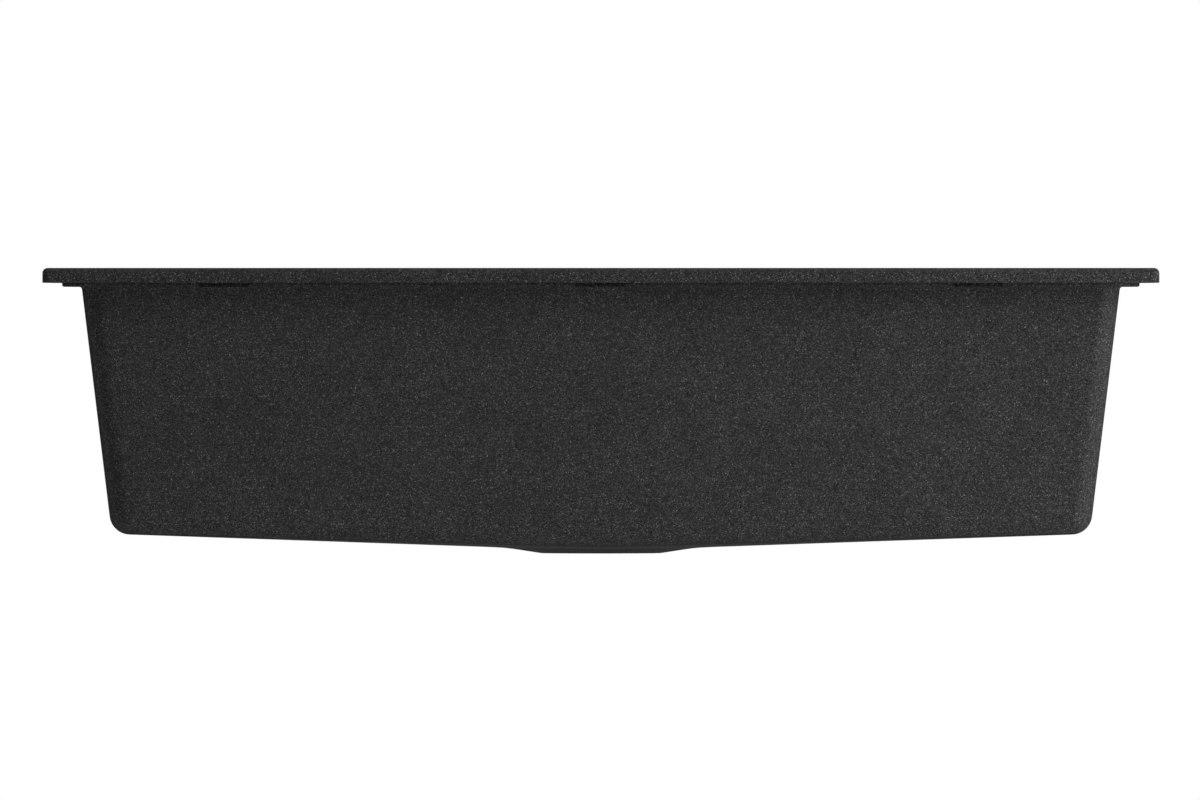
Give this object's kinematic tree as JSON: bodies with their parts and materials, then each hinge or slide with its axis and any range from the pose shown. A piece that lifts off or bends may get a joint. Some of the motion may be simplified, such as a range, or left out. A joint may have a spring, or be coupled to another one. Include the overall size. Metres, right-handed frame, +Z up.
{
  "type": "workstation kitchen sink",
  "caption": "Drop-in single-bowl workstation sink in dark composite, with a ledge for a sliding board and bar rack, a bottom grid and a drain cap.",
  "frame": {"origin": "centre of the rim's underside, in the plane of the worktop that the rim rests on", "axes": "+X to the right along the sink's length, +Y to the rear deck, +Z up"},
  "size_m": [0.8382, 0.5588, 0.2159],
  "materials": {
    "composite": "matte",
    "board_wood": "satin",
    "board_pad_rubber": "matte",
    "rack_steel": "satin",
    "rack_silicone": "matte",
    "grid_steel": "satin",
    "grid_silicone": "matte",
    "cap_steel": "satin",
    "cap_silicone": "matte"
  },
  "bodies": {
    "sink": {"sink_body": "composite"},
    "board": {"cutting_board": "board_wood", "board_pads": "board_pad_rubber"},
    "rack": {"rack_bars": "rack_steel", "rack_band_front": "rack_silicone", "rack_band_rear": "rack_silicone"},
    "grid": {"grid_frame": "grid_steel", "grid_short_wires": "grid_steel", "grid_long_wires": "grid_steel", "grid_drain_ring": "grid_steel", "grid_legs": "grid_steel", "grid_feet": "grid_silicone", "grid_bumpers": "grid_silicone"},
    "cap": {"drain_cap": "cap_steel", "cap_feet": "cap_silicone", "cap_knob": "cap_steel"}
  },
  "joints": [
    {"name": "board_slide", "type": "slide", "parent": "sink", "child": "board", "axis": [1, 0, 0], "range_m": [-0.095, 0]},
    {"name": "rack_slide", "type": "slide", "parent": "sink", "child": "rack", "axis": [1, 0, 0], "range_m": [0, 0.095]},
    {"name": "grid_lift", "type": "slide", "parent": "sink", "child": "grid", "axis": [0, 0, 1], "range_m": [0, 0.13]},
    {"name": "cap_lift", "type": "slide", "parent": "sink", "child": "cap", "axis": [0, 0, 1], "range_m": [0, 0.15]}
  ]
}
